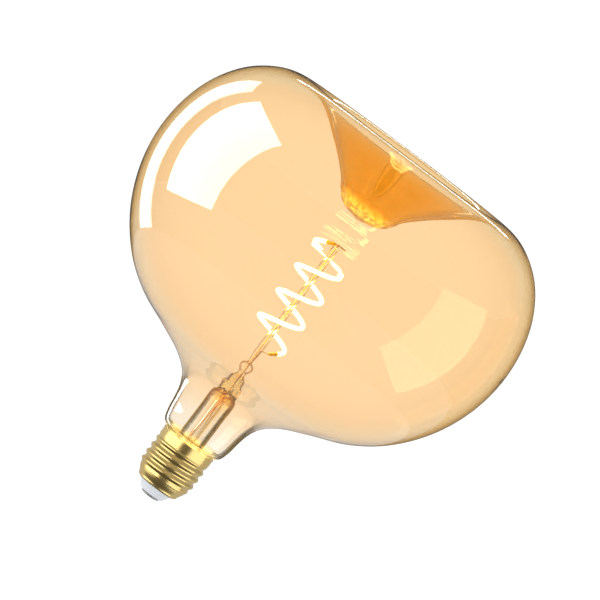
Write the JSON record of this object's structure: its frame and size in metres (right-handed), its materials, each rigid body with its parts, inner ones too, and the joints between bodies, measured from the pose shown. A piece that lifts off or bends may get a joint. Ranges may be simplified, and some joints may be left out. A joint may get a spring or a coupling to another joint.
{
  "type": "smart light bulb",
  "caption": "Large globe filament lamp with a cratered crown, amber glass, a helical LED filament on a glass stem and a brass screw cap.",
  "frame": {"origin": "middle of the end contact's flat face", "axes": "+Z along the lamp's axis, from the end contact to the crater in the crown; +Y points away from the viewer of the filament's two end ferrules"},
  "size_m": [0.184, 0.184, 0.1855],
  "materials": {
    "amber_glass": "clear amber, fading to colourless at the neck",
    "stem_glass": "clear",
    "filament_strip": "satin",
    "phosphor": "matt, lit",
    "ferrule": "satin",
    "nickel_wire": "satin",
    "copper": "satin",
    "brass": "bright rolled sheet",
    "insulator": "glazed white",
    "contact_metal": "dull solder",
    "cement": "matt",
    "circuit_board": "solder mask",
    "capacitor_sleeve": "shrink sleeve",
    "ferrite": "matt",
    "epoxy": "moulded",
    "resistor_coat": "lacquer",
    "shield_can": "tinned"
  },
  "bodies": {
    "root": {"glass_envelope": "amber_glass", "stem_flare": "stem_glass", "exhaust_tube": "stem_glass", "stem_press": "stem_glass", "stem_button": "stem_glass", "support_rod": "stem_glass", "filament_strip": "filament_strip", "filament_coating_a": "phosphor", "filament_coating_b": "phosphor", "filament_ferrule_lower": "ferrule", "filament_ferrule_upper": "ferrule", "lower_lead_wire": "nickel_wire", "upper_lead_wire": "nickel_wire", "top_cross_wire": "nickel_wire", "seal_wire_upper": "copper", "seal_wire_lower": "copper", "copper_lead_lower": "copper", "copper_lead_upper": "copper", "screw_shell": "brass", "cap_insulator": "insulator", "end_contact": "contact_metal", "basing_cement": "cement", "driver_board": "circuit_board", "reservoir_capacitor": "capacitor_sleeve", "inductor_core": "ferrite", "inductor_winding": "copper", "bridge_rectifier": "epoxy", "fusible_resistor": "resistor_coat", "driver_chip": "epoxy", "radio_board": "circuit_board", "radio_shield": "shield_can", "antenna_wire": "copper", "contact_wire": "copper", "shell_wire": "copper"}
  },
  "joints": []
}
